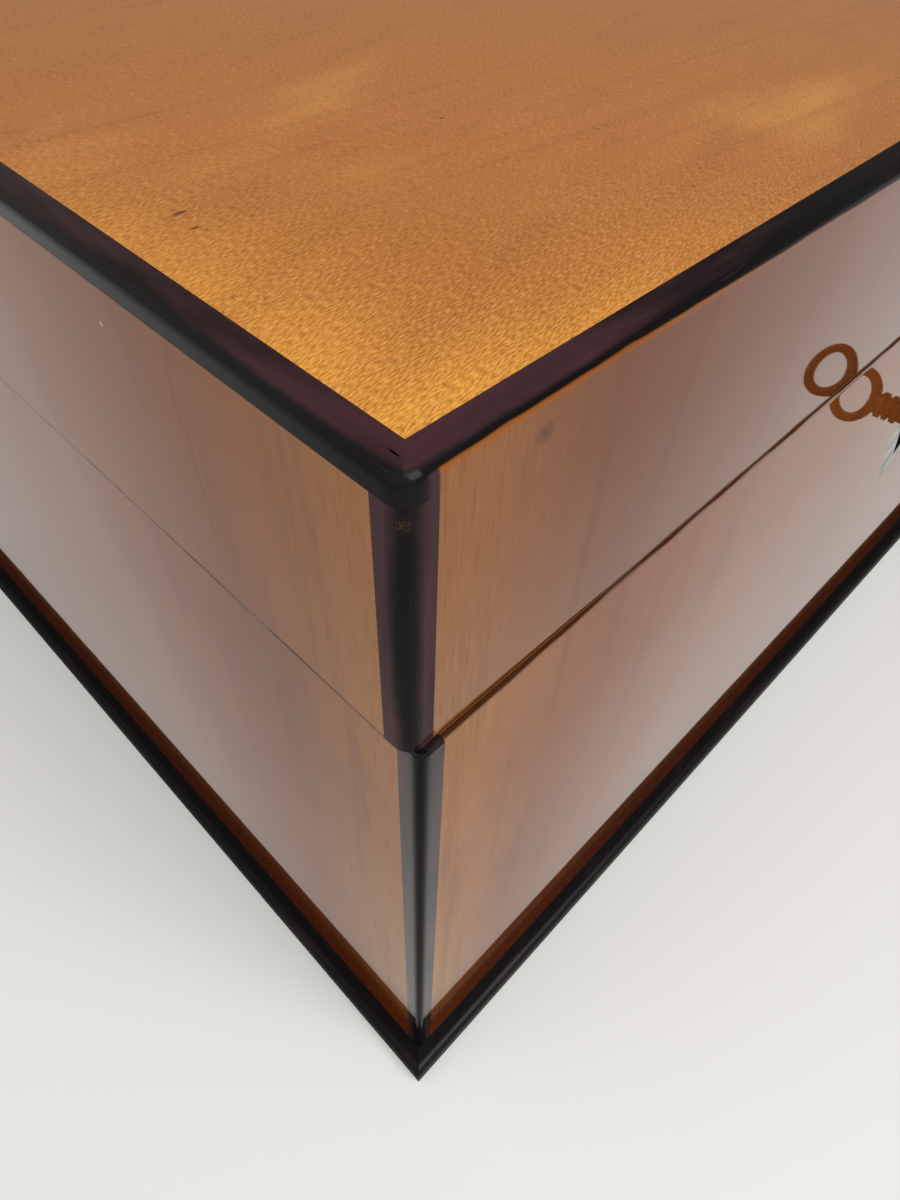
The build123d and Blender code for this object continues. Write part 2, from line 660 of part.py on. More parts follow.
def main():
    """Write one file for each piece."""
    os.makedirs("parts", exist_ok=True)
    pieces = {**body_pieces(), **lid_pieces(), **hinge_pieces(), **lock_pieces()}
    for name, piece in pieces.items():
        shape = Compound(children=list(piece)) if isinstance(piece, list) else piece
        export_step(shape, f"parts/{name}.step")


main()
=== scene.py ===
"""Looks of a veneered wooden box with a hinged lid, a box lock and its key."""
import math

import bpy
import numpy as np
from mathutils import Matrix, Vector
from bpy.props import FloatProperty, FloatVectorProperty, PointerProperty


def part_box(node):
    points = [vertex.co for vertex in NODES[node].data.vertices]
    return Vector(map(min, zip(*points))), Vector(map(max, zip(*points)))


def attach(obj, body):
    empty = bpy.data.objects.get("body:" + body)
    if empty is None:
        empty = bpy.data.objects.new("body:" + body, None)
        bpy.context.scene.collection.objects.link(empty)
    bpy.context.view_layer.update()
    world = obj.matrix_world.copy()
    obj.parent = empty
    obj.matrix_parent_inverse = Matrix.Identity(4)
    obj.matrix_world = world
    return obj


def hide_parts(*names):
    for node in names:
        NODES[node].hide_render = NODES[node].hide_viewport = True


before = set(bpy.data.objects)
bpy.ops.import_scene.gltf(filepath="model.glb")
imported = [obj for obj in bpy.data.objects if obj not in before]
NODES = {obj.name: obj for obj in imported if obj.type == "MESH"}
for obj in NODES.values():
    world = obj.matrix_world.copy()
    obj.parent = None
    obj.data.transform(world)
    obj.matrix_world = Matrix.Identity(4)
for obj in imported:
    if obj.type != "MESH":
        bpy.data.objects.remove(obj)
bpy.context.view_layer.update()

bl_info = {
    "name": "Veneered box",
    "version": (1, 0, 0),
    "blender": (4, 5, 0),
    "location": "View3D > Sidebar > Box",
    "description": "Finishes the pieces of a French polished box and sets its stage",
    "category": "Object",
}

MM = 0.001

# Levels of the faces at the near corner and the strips' width, from which stains and marks are placed
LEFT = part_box("body_left_veneer")[0].x
LID_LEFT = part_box("lid_left_veneer")[0].x
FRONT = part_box("body_front_veneer")[0].y
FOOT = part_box("body_front_veneer")[0].z
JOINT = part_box("body_front_veneer")[1].z
STRIP = 4 * MM

# The front leans on both sides of the joint: the lid's in its polish, the body's in its mesh
LID_LEAN = math.tan(math.radians(3.4))
LID_LEAN_REACH = 30 * MM
BODY_LEAN = math.tan(math.radians(1.5))
BODY_LEAN_DEPTH = 38 * MM
BODY_LEAN_TURN = 17 * MM
JOINT_EASE = 0.4 * MM

# The body's lean fades toward the panel's ends to a share of itself, and takes at most a share of the veneer
LEAN_FADE = 45 * MM
END_LEAN = 0.6
DEEPEST_LEAN = 0.95

# Points on each eighth of the panel's outline, rings from its hole to its edge, and what counts as sharp
PANEL_STEPS = 60
PANEL_RINGS = 64
SHARP_ANGLE = math.radians(25)

# Dark marks of the top: place from its front left corner, half length and half width, in millimetres
TOP_MARKS = ((8.0, 43.1, 1.2, 0.4), (7.3, 39.3, 0.7, 0.3), (47.3, 43.4, 0.6, 0.25))

# Marks of the lid's sides: place, and reach along the three axes
KNOT_PLACE = (LEFT + 16 * MM, FRONT, JOINT + 37.6 * MM)
KNOT_REACH = (1.2 * MM, 4.0 * MM, 1.0 * MM)
CHIP_PLACE = (LID_LEFT, FRONT + 48 * MM, JOINT + 33.9 * MM)
CHIP_REACH = (1 * MM, 0.35 * MM, 0.3 * MM)
LINE_PLACE = (LID_LEFT, FRONT + 34 * MM, JOINT + 24 * MM)
LINE_REACH = (5 * MM, 20 * MM, 24 * MM)
LINE_BACK = FRONT + 37.5 * MM
LINE_BEND = 6 * MM
LINE_WIDTH = 0.5 * MM

# Toward a corner's arris the polish turns dull and the stain black: how far from it each starts and is full
ARRIS_DULL = (1.8 * MM, 0.6 * MM)
ARRIS_BLACK = (2.5 * MM, 0.7 * MM)

# The front edging: how far from its ends the strips' colour starts and is full, and how far over a level the
# black does
STRIP_EDGE = (3.5 * MM, 3.1 * MM)
BLACK_EDGE = (-0.1 * MM, 0.15 * MM)
LID_STRIP_BROWN = 0.35

# French polish: faint waves, and how rough its surface is where it is whole and where it is rubbed
POLISH_WAVE = (38 * MM, 26 * MM)
POLISH_WAVE_HEIGHT = 0.02 * MM
POLISH_ROUGHNESS = 0.025
RUBBED_ROUGHNESS = 0.2
SHELLAC = "#FFF3E4"

# Grain turns: the angles that bring a piece's grain onto the pattern's first axis
GRAIN_ALONG_X = (0.0, 0.0, 0.0)
GRAIN_ALONG_Y = (0.0, 0.0, math.radians(-90))
GRAIN_UPRIGHT = (0.0, math.radians(90), 0.0)
TOP_LINE_TURN = (0.0, 0.0, math.radians(-5))

# Stage, in metres, with the film's long side in millimetres
FLOOR_REACH = 6.0
BRIGHT_SIDE = (-0.72, -0.36, 0.6)
LAMP_PLACE = Vector((-0.05, -1.19, 1.31))
LAMP_AIM = Vector((-0.15, -0.1, 0.15))
FILM_LONG_SIDE = 36.0
NEAREST_SEEN = 5 * MM


def linear(code):
    """Linear red, green and blue, with full cover, of an sRGB hex code."""
    shares = [int(code[i:i + 2], 16) / 255 for i in (1, 3, 5)]
    return tuple(s / 12.92 if s <= 0.04045 else ((s + 0.055) / 1.055) ** 2.4 for s in shares) + (1.0,)


def colour_setting(name, code, description):
    """A colour that a user may change, given as sRGB hex."""
    return FloatVectorProperty(name=name, description=description, size=4, subtype="COLOR", min=0.0, max=1.0,
                               default=linear(code))


def size_setting(name, millimetres, description):
    """A length that a user may change, given in millimetres."""
    return FloatProperty(name=name, description=description, unit="LENGTH", min=0.0, default=millimetres * MM)


class BoxVeneerSettings(bpy.types.PropertyGroup):
    """Colours and grain of the veneers."""

    # The top's pale gold near its front left corner is partly a painted sheen of the wood's lustre
    top_pale_and_sheen: colour_setting("Top pale", "#E4A646", "Golden wood of the top, at its front left corner")
    top_deep: colour_setting("Top deep", "#AC6D38", "Deeper wood of the top")
    top_red: colour_setting("Top red", "#9E5F36", "Red clouds of the top")
    top_light: colour_setting("Top light", "#F0BC62", "Light flecks and clouds of the top")
    top_pore: colour_setting("Top pores", "#7E4413", "Dark flecks and growth lines of the top")
    side_pale: colour_setting("Side pale", "#90602F", "Golden wood of the sides, beside the corner strips")
    side_deep: colour_setting("Side deep", "#744018", "Deeper wood of the sides")
    side_red: colour_setting("Side red", "#5C2A10", "Red clouds of the sides")
    side_light: colour_setting("Side light", "#AC8048", "Light streaks of the sides")
    side_pore: colour_setting("Side pores", "#40200C", "Dark streaks and knot of the sides")
    # Laid over the sides' lowest 45 mm, darkening them toward the plinth
    side_foot: colour_setting("Side foot", "#4A1E04", "Dark wood of the sides above the plinth")
    lid_pale: colour_setting("Lid pale", "#82542A", "Golden wood of the lid's front")
    lid_deep: colour_setting("Lid deep", "#643516", "Deeper wood of the lid's front")
    # Colour of the stain run in from the strips, and of the grime and painted shade in the joint under the
    # lid
    grime_and_shade: colour_setting("Grime", "#3A1A08", "Dirt in the joint under the lid")
    fleck_length: size_setting("Fleck length", 0.85, "Length of the flecks of the top, along the grain")
    fleck_width: size_setting("Fleck width", 0.2, "Width of the flecks of the top")
    top_turn: FloatProperty(name="Top grain turn", description="Turn of the top's grain from the front edge",
                            subtype="ANGLE", default=math.radians(10))


class BoxTrimSettings(bpy.types.PropertyGroup):
    """Colours of the ebonised wood, the core boards and the metals."""

    ebony: colour_setting("Ebonised black", "#0E0B0D", "Black of the strips, edging and plinth")
    ebony_brown: colour_setting("Ebonised brown", "#40292E", "Purple brown where the black is thin")
    scratch: colour_setting("Scratches", "#4A3634", "Fine scratches in the black")
    rubbed: colour_setting("Rubbed edging", "#8A4E14", "Wood that shows where the black is rubbed through")
    bare: colour_setting("Bare wood", "#7A5A3A", "Wood that shows through scratches at the corner of the lid")
    # The rims' colour is stain and painted shade in the joint under the lid
    rim: colour_setting("Rim", "#5A3212", "Stained rims of the core boards at the joint")
    board: colour_setting("Core board", "#B98A54", "Softwood of the core boards")
    board_line: colour_setting("Core board lines", "#8A5C2E", "Late wood lines of the core boards")
    brass: colour_setting("Brass", "#B99247", "Hinges and lock plates")
    brass_dull: colour_setting("Dull brass", "#6E5026", "Tarnish on the brass")
    steel: colour_setting("Steel", "#8C8880", "Screws, pins and bolt")
    steel_dull: colour_setting("Dull steel", "#4A443D", "Tarnish on the steel")
    white_metal: colour_setting("White metal", "#A8A8A0", "Border of the escutcheon")
    key_iron: colour_setting("Key iron", "#2E1D14", "Browned iron of the key")
    key_worn: colour_setting("Worn key iron", "#4A3628", "Iron of the key where hands have rubbed it")


class BoxStageSettings(bpy.types.PropertyGroup):
    """Floor, light and camera."""

    floor: colour_setting("Floor", "#E0E1DD", "Floor that the box stands on")
    room_dim: colour_setting("Dim room", "#77746F", "Room before the camera, which the polished top mirrors")
    room_bright: colour_setting("Bright room", "#FFFFFF", "Room behind the camera, on the left")
    room_strength: FloatProperty(name="Room strength", description="Strength of the room's light",
                                 default=1.15)
    lamp_power: FloatProperty(name="Lamp power", description="Power of the soft lamp before the box",
                              unit="POWER", default=17.2)
    lamp_size: size_setting("Lamp size", 1000, "Side of the square soft lamp")
    camera_place: FloatVectorProperty(name="Camera place", description="Where the camera stands", size=3,
                                      subtype="TRANSLATION", unit="LENGTH",
                                      default=(-0.21347, -0.16241, 0.24807))
    camera_turn: FloatVectorProperty(name="Camera turn", description="How the camera is turned", size=3,
                                     subtype="EULER", unit="ROTATION",
                                     default=[math.radians(a) for a in (39.508, -1.756, -45.237)])
    lens: FloatProperty(name="Lens", description="Focal length in millimetres on a 36 mm long side",
                        default=24.05)


SETTINGS = {
    "box_veneer": BoxVeneerSettings,
    "box_trim": BoxTrimSettings,
    "box_stage": BoxStageSettings,
}


def add(tree, kind, inputs=None, **settings):
    """Adds a node, applies its settings, and sets or links each input."""
    node = tree.nodes.new(kind)
    for name, value in settings.items():
        setattr(node, name, value)
    for name, value in (inputs or {}).items():
        if isinstance(value, bpy.types.NodeSocket):
            tree.links.new(value, node.inputs[name])
        else:
            node.inputs[name].default_value = value
    return node


def start_material(name):
    """A new material and its emptied node tree."""
    material = bpy.data.materials.new(name)
    material.use_nodes = True
    tree = material.node_tree
    tree.nodes.clear()
    return material, tree


def grain_pattern(tree, turn, length, width, detail=2.0):
    """Noise from 0 to 1 in features of that length along the turned grain and that width across it."""
    place = add(tree, "ShaderNodeTexCoord").outputs["Object"]
    counted = add(tree, "ShaderNodeMapping", {
        "Vector": place, "Rotation": turn, "Scale": (length, width, width),
    }, vector_type="TEXTURE").outputs[0]
    return add(tree, "ShaderNodeTexNoise", {"Vector": counted, "Scale": 1.0, "Detail": detail}).outputs[0]


def lay(tree, under, over, mask, start, full, share=1.0):
    """Lays a colour over another: none where the mask is at its start, and that share where it is full."""
    cover = add(tree, "ShaderNodeMapRange", {
        "Value": mask, "From Min": start, "From Max": full, "To Max": share,
    }, interpolation_type="SMOOTHSTEP").outputs[0]
    return add(tree, "ShaderNodeMix", {0: cover, 6: under, 7: over}, data_type="RGBA").outputs[2]


def spot(tree, centre, reach):
    """Distance from a place, counted in the reaches of a spot along the three axes."""
    place = add(tree, "ShaderNodeTexCoord").outputs["Object"]
    near = add(tree, "ShaderNodeMapping", {
        "Vector": place, "Location": centre, "Scale": reach,
    }, vector_type="TEXTURE").outputs[0]
    return add(tree, "ShaderNodeVectorMath", {0: near}, operation="LENGTH").outputs["Value"]


def beside(tree, axis, level):
    """Distance of a place from a level along one axis, and how far past the level it is."""
    place = add(tree, "ShaderNodeTexCoord").outputs["Object"]
    part = add(tree, "ShaderNodeSeparateXYZ", {"Vector": place}).outputs[axis]
    past = add(tree, "ShaderNodeMath", {0: part, 1: level}, operation="SUBTRACT").outputs[0]
    return add(tree, "ShaderNodeMath", {0: past}, operation="ABSOLUTE").outputs[0], past


def sweep(name, points):
    """A closed surface through a grid of points, whose rows and columns both run round into themselves."""
    rows, columns = points.shape[:2]
    i, j = np.meshgrid(np.arange(rows), np.arange(columns), indexing="ij")
    next_i, next_j = (i + 1) % rows, (j + 1) % columns
    corners = ((i, j), (next_i, j), (next_i, next_j), (i, next_j))
    faces = np.stack([row * columns + column for row, column in corners], axis=-1)
    mesh = bpy.data.meshes.new(name)
    mesh.from_pydata(points.reshape(-1, 3), [], faces.reshape(-1, 4))
    mesh.shade_smooth()
    mesh.set_sharp_from_angle(angle=SHARP_ANGLE)
    piece = bpy.data.objects.new(name, mesh)
    bpy.context.scene.collection.objects.link(piece)
    return piece


def eased(distance, reach):
    """How far a face that starts upright and turns to a slope of 1 over a reach has gone after a distance.
    Within the reach that is its length times the share cubed less half the share to the fourth, and beyond
    it a straight line follows."""
    share = np.clip(distance / reach, 0.0, 1.0)
    return reach * (share**3 - share**4 / 2) + np.clip(distance - reach, 0.0, None)


def lozenge_panel(name, box, hole):
    """A front veneer with a lozenge hole. Rings run from the lozenge to the panel's edge, each point a
    straight mix of the two outlines, and the profile goes out over the face and back behind it. Toward the
    joint the face leans back, less at both ends, and its upper edge is eased at 45 degrees."""
    (low, high), (hole_low, hole_high) = box, hole
    middle = np.array([(hole_low.x + hole_high.x) / 2, (hole_low.z + hole_high.z) / 2])
    half = np.array([hole_high.x - hole_low.x, hole_high.z - hole_low.z]) / 2
    turns = np.array([[high.x, middle[1]], [high.x, high.z], [middle[0], high.z], [low.x, high.z],
                      [low.x, middle[1]], [low.x, low.z], [middle[0], low.z], [high.x, low.z]])
    share = np.arange(PANEL_STEPS) / PANEL_STEPS
    edge = turns[:, None] + share[:, None] * (np.roll(turns, -1, axis=0) - turns)[:, None]
    edge = edge.reshape(-1, 2)
    out = edge - middle
    inner = middle + out / np.abs(out / half).sum(axis=1, keepdims=True)
    ease = 1 - JOINT_EASE / (high.z - middle[1])
    rings = np.append(np.linspace(0.0, ease, PANEL_RINGS), 1.0)
    face = inner[:, None] + rings[:, None] * (edge - inner)[:, None]
    x, z = face[..., 0], face[..., 1]
    inward = np.clip(np.minimum(x - low.x, high.x - x) / LEAN_FADE, 0.0, 1.0)
    lean = BODY_LEAN * (END_LEAN + (1 - END_LEAN) * inward * inward * (3 - 2 * inward))
    back = lean * eased(z - (high.z - BODY_LEAN_DEPTH), BODY_LEAN_TURN)
    back = back + np.clip(z - (high.z - JOINT_EASE), 0.0, None)
    y = low.y + np.minimum(back, DEEPEST_LEAN * (high.y - low.y))
    front = np.stack([x, y, z], axis=-1)
    rims = face[:, [-1, 0]]
    behind = np.stack([rims[..., 0], np.full(rims.shape[:2], high.y), rims[..., 1]], axis=-1)
    return sweep(name, np.concatenate([front, behind], axis=1))


def dress(names, material):
    """Gives a material to CAD nodes."""
    for name in names:
        for slot in NODES[name].material_slots:
            slot.material = material


def french_polish(tree, wood, gloss, height, roughness=POLISH_ROUGHNESS):
    """A clear coat of shellac over wood: it mirrors the room, more at a slant, and lies in faint waves."""
    waves = add(tree, "ShaderNodeBump", {"Height": height, "Distance": 1.0}).outputs[0]
    shader = add(tree, "ShaderNodeBsdfPrincipled", {
        "Base Color": wood, "Roughness": 0.5, "Specular IOR Level": 0.0, "Coat Weight": gloss,
        "Coat Roughness": roughness, "Coat IOR": 1.5, "Coat Tint": linear(SHELLAC), "Coat Normal": waves,
    })
    add(tree, "ShaderNodeOutputMaterial", {"Surface": shader.outputs[0]})


def polish_waves(tree, turn):
    """Height of the faint waves that lie in the polish."""
    wave = grain_pattern(tree, turn, *POLISH_WAVE)
    return add(tree, "ShaderNodeMath", {0: wave, 1: POLISH_WAVE_HEIGHT}, operation="MULTIPLY").outputs[0]


def top_veneer(name, looks, box):
    """Satin hardwood under French polish: golden at the near corner, partly the wood's own colour and partly
    a painted sheen standing in for its lustre, red brown beyond, in soft clouds and growth lines, with short
    dark and light flecks set at a slant."""
    low, high = box
    material, tree = start_material(name)
    turn = (0.0, 0.0, looks.top_turn)
    from_left, _ = beside(tree, "X", low.x)
    from_front, _ = beside(tree, "Y", low.y)
    from_edge = add(tree, "ShaderNodeMath", {0: from_left, 1: from_front}, operation="MINIMUM").outputs[0]
    from_corner = spot(tree, (low.x, low.y, high.z), (1.0, 1.0, 1.0))
    cloud = grain_pattern(tree, turn, 70 * MM, 30 * MM, 3.0)
    mottle = grain_pattern(tree, turn, 14 * MM, 5 * MM, 3.0)
    line = grain_pattern(tree, TOP_LINE_TURN, 150 * MM, 2.6 * MM, 3.0)
    fleck = grain_pattern(tree, turn, looks.fleck_length, looks.fleck_width, 3.0)
    # Painted sheen: the pale gold is strongest at the front left corner and fades along the front and left
    # edges
    reach = add(tree, "ShaderNodeMath", {0: from_corner, 1: 0.55, 2: from_edge},
                operation="MULTIPLY_ADD").outputs[0]
    reach = add(tree, "ShaderNodeMath", {0: cloud, 1: 22 * MM, 2: reach}, operation="MULTIPLY_ADD").outputs[0]
    wood = lay(tree, looks.top_pale_and_sheen, looks.top_deep, reach, 8 * MM, 52 * MM)
    wood = lay(tree, wood, looks.top_red, cloud, 0.5, 0.75, 0.6)
    wood = lay(tree, wood, looks.top_light, cloud, 0.45, 0.25, 0.4)
    wood = lay(tree, wood, looks.top_pore, mottle, 0.5, 0.75, 0.2)
    wood = lay(tree, wood, looks.top_pore, line, 0.5, 0.75, 0.25)
    # The flecks stand out most where the wood is golden
    strength = add(tree, "ShaderNodeMapRange", {
        "Value": reach, "From Min": 8 * MM, "From Max": 60 * MM, "To Min": 1.0, "To Max": 0.3,
    }).outputs[0]
    fleck = add(tree, "ShaderNodeMath", {0: fleck, 1: 0.5}, operation="SUBTRACT").outputs[0]
    fleck = add(tree, "ShaderNodeMath", {0: fleck, 1: strength}, operation="MULTIPLY").outputs[0]
    wood = lay(tree, wood, looks.top_pore, fleck, 0.12, -0.26, 0.7)
    wood = lay(tree, wood, looks.top_light, fleck, -0.08, 0.26, 0.7)
    for x, y, length, width in TOP_MARKS:
        mark = spot(tree, (low.x + x * MM, low.y + y * MM, high.z), (length * MM, width * MM, 1.0))
        wood = lay(tree, wood, looks.side_pore, mark, 1.0, 0.4, 0.8)
    french_polish(tree, wood, 1.0, polish_waves(tree, turn))
    return material


def stained_black(tree, trim, turn, brown=0.0, from_corner=0.0):
    """Colour of pearwood stained black: purple brown where the stain is thin, with fine pale scratches."""
    thin = grain_pattern(tree, turn, 25 * MM, 4 * MM, 4.0)
    thin = add(tree, "ShaderNodeMath", {0: thin, 1: brown}, operation="ADD").outputs[0]
    thin = add(tree, "ShaderNodeMath", {0: from_corner, 1: -0.3, 2: thin},
               operation="MULTIPLY_ADD").outputs[0]
    scratch = grain_pattern(tree, turn, 9 * MM, 0.25 * MM)
    wood = lay(tree, trim.ebony, trim.ebony_brown, thin, 0.4, 0.95)
    return lay(tree, wood, trim.scratch, scratch, 0.66, 0.82, 0.5)


def side_wood(tree, looks, pale, deep, from_strip, streak):
    """Colour of the sides' wood: golden beside the corner strips and red brown beyond, in clouds and bands,
    streaked near the strips and dark above the plinth."""
    from_foot, _ = beside(tree, "Z", FOOT)
    cloud = grain_pattern(tree, GRAIN_UPRIGHT, 70 * MM, 40 * MM, 3.0)
    band = grain_pattern(tree, GRAIN_UPRIGHT, 60 * MM, 3.5 * MM, 1.0)
    reach = add(tree, "ShaderNodeMath", {0: cloud, 1: 30 * MM, 2: from_strip},
                operation="MULTIPLY_ADD").outputs[0]
    wood = lay(tree, pale, deep, reach, 10 * MM, 46 * MM)
    wood = lay(tree, wood, looks.side_red, cloud, 0.5, 0.78, 0.6)
    wood = lay(tree, wood, looks.side_pore, band, 0.5, 0.8, 0.3)
    strength = add(tree, "ShaderNodeMapRange", {
        "Value": from_strip, "From Max": 30 * MM, "To Min": 1.0, "To Max": 0.0,
    }).outputs[0]
    grain = add(tree, "ShaderNodeMath", {0: streak, 1: 0.5}, operation="SUBTRACT").outputs[0]
    grain = add(tree, "ShaderNodeMath", {0: grain, 1: strength}, operation="MULTIPLY").outputs[0]
    wood = lay(tree, wood, looks.side_pore, grain, 0.02, 0.25, 0.25)
    wood = lay(tree, wood, looks.side_light, grain, -0.02, -0.25, 0.18)
    # Darker toward the plinth over the lowest 45 mm
    return lay(tree, wood, looks.side_foot, from_foot, 45 * MM, 14 * MM, 0.95)


def knot(tree, wood, looks, deep):
    """A small knot in the wood: a dark ring, the wood's own colour within it, and a dark middle."""
    from_knot = spot(tree, KNOT_PLACE, KNOT_REACH)
    wood = lay(tree, wood, looks.side_pore, from_knot, 1.3, 0.8, 0.45)
    wood = lay(tree, wood, deep, from_knot, 0.7, 0.5, 0.7)
    return lay(tree, wood, looks.side_pore, from_knot, 0.45, 0.2, 0.8)


def lid_marks(tree, wood, looks, trim):
    """Marks on the lid's left: a pale chip, and a dark line of grain that runs down in a slight bend."""
    from_chip = spot(tree, CHIP_PLACE, CHIP_REACH)
    wood = lay(tree, wood, trim.white_metal, from_chip, 1.0, 0.7)
    bend = grain_pattern(tree, GRAIN_UPRIGHT, 16 * MM, 60 * MM)
    _, from_line = beside(tree, "Y", LINE_BACK)
    from_line = add(tree, "ShaderNodeMath", {0: bend, 1: LINE_BEND, 2: from_line},
                    operation="MULTIPLY_ADD").outputs[0]
    from_line = add(tree, "ShaderNodeMath", {0: from_line}, operation="ABSOLUTE").outputs[0]
    in_line = add(tree, "ShaderNodeMath", {0: from_line, 1: 1 / LINE_WIDTH}, operation="MULTIPLY").outputs[0]
    in_lid = spot(tree, LINE_PLACE, LINE_REACH)
    in_line = add(tree, "ShaderNodeMath", {0: in_line, 1: in_lid}, operation="MAXIMUM").outputs[0]
    return lay(tree, wood, looks.side_pore, in_line, 1.0, 0.3, 0.24)


def rubbed_black(tree, wood, gloss, trim, level, from_left, ragged):
    """Colour and gloss of the front edging: black above a ragged level, which lies lower away from the left
    end, golden below it where the black is rubbed through, and at both ends coloured like the corner
    strips."""
    low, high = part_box("lid_edging_front")
    half = (high.x - low.x) / 2
    from_middle, _ = beside(tree, "X", (low.x + high.x) / 2)
    _, over = beside(tree, "Z", level)
    over = add(tree, "ShaderNodeMath", {0: ragged, 1: 0.5 * MM, 2: over}, operation="MULTIPLY_ADD").outputs[0]
    lower = add(tree, "ShaderNodeMapRange", {
        "Value": from_left, "From Min": 20 * MM, "From Max": 90 * MM, "To Max": 1.2 * MM,
    }).outputs[0]
    over = add(tree, "ShaderNodeMath", {0: over, 1: lower}, operation="ADD").outputs[0]
    from_corner = spot(tree, (low.x, low.y, high.z), (40 * MM, 40 * MM, 0.3 * MM))
    black = stained_black(tree, trim, GRAIN_ALONG_X, 0.4, from_corner)
    golden = lay(tree, trim.rubbed, wood, from_left, 30 * MM, 70 * MM)
    wood = lay(tree, wood, golden, over, -0.9 * MM, -0.1 * MM, 0.6)
    at_arris = add(tree, "ShaderNodeMapRange", {
        "Value": from_middle, "From Min": half - ARRIS_BLACK[0], "From Max": half - ARRIS_BLACK[1],
        "To Max": 2.0,
    }).outputs[0]
    strip = stained_black(tree, trim, GRAIN_UPRIGHT, LID_STRIP_BROWN, at_arris)
    strip_edge = half - STRIP_EDGE[0], half - STRIP_EDGE[1]
    wood = lay(tree, wood, strip, from_middle, *strip_edge)
    wood = lay(tree, wood, black, over, *BLACK_EDGE)
    dull_black = add(tree, "ShaderNodeMapRange", {
        "Value": over, "From Min": BLACK_EDGE[0], "From Max": BLACK_EDGE[1], "To Min": 1.0, "To Max": 0.4,
    }).outputs[0]
    dull_strip = add(tree, "ShaderNodeMapRange", {
        "Value": from_middle, "From Min": strip_edge[0], "From Max": strip_edge[1],
        "To Min": 1.0, "To Max": 0.4,
    }).outputs[0]
    dull = add(tree, "ShaderNodeMath", {0: dull_black, 1: dull_strip}, operation="MINIMUM").outputs[0]
    gloss = add(tree, "ShaderNodeMath", {0: gloss, 1: dull}, operation="MULTIPLY").outputs[0]
    return wood, gloss


def side_veneer(name, looks, trim, pale, deep, lean=0.0, black_above=None):
    """The same wood with upright grain: red brown, golden and worn thin of polish beside the corner strips,
    with stain run in from the strips, and grime and painted shade along the joint under the lid. Above a
    level it is stained black."""
    material, tree = start_material(name)
    from_left, _ = beside(tree, "X", LEFT + STRIP)
    from_front, _ = beside(tree, "Y", FRONT + STRIP)
    from_joint, above_joint = beside(tree, "Z", JOINT)
    from_strip = add(tree, "ShaderNodeMath", {0: from_left, 1: from_front}, operation="MAXIMUM").outputs[0]
    streak = grain_pattern(tree, GRAIN_UPRIGHT, 7 * MM, 0.4 * MM, 1.0)
    ragged = grain_pattern(tree, GRAIN_ALONG_X, 9 * MM, 9 * MM)
    wood = side_wood(tree, looks, pale, deep, from_strip, streak)
    wood = knot(tree, wood, looks, deep)
    bleed = add(tree, "ShaderNodeMath", {0: streak, 1: -2.2 * MM, 2: from_strip},
                operation="MULTIPLY_ADD").outputs[0]
    wood = lay(tree, wood, looks.grime_and_shade, bleed, 0.0, -0.5 * MM, 0.7)
    # Grime and painted shade in the joint under the lid: dark colour laid in a soft band and a ragged line
    # along it
    dirt_and_shade = add(tree, "ShaderNodeMath", {0: ragged, 1: -1.3 * MM, 2: from_joint},
               operation="MULTIPLY_ADD").outputs[0]
    wood = lay(tree, wood, looks.grime_and_shade, from_joint, 1.3 * MM, 0.6 * MM, 0.45)
    wood = lay(tree, wood, looks.grime_and_shade, dirt_and_shade, 0.4 * MM, -0.2 * MM, 0.95)
    wood = lid_marks(tree, wood, looks, trim)
    gloss = add(tree, "ShaderNodeMapRange", {
        "Value": from_strip, "From Max": 80 * MM, "To Min": 0.55, "To Max": 0.95,
    }).outputs[0]
    clean = add(tree, "ShaderNodeMapRange", {
        "Value": dirt_and_shade, "From Min": -0.4 * MM, "From Max": 0.0, "To Min": 0.05,
    }).outputs[0]
    gloss = add(tree, "ShaderNodeMath", {0: gloss, 1: clean}, operation="MULTIPLY").outputs[0]
    roughness = POLISH_ROUGHNESS
    if black_above:
        roughness = RUBBED_ROUGHNESS
        wood, gloss = rubbed_black(tree, wood, gloss, trim, black_above, from_left, ragged)
    # The joint is in the middle of a smooth step over twice the reach. The step has that lean there when it
    # rises by 4/3 of the lean times the reach
    leaning = add(tree, "ShaderNodeMapRange", {
        "Value": above_joint, "From Min": -LID_LEAN_REACH, "From Max": LID_LEAN_REACH,
        "To Max": lean * LID_LEAN_REACH * 4 / 3,
    }, interpolation_type="SMOOTHSTEP").outputs[0]
    waves = polish_waves(tree, GRAIN_UPRIGHT)
    height = add(tree, "ShaderNodeMath", {0: waves, 1: leaning}, operation="ADD").outputs[0]
    french_polish(tree, wood, gloss, height, roughness)
    return material


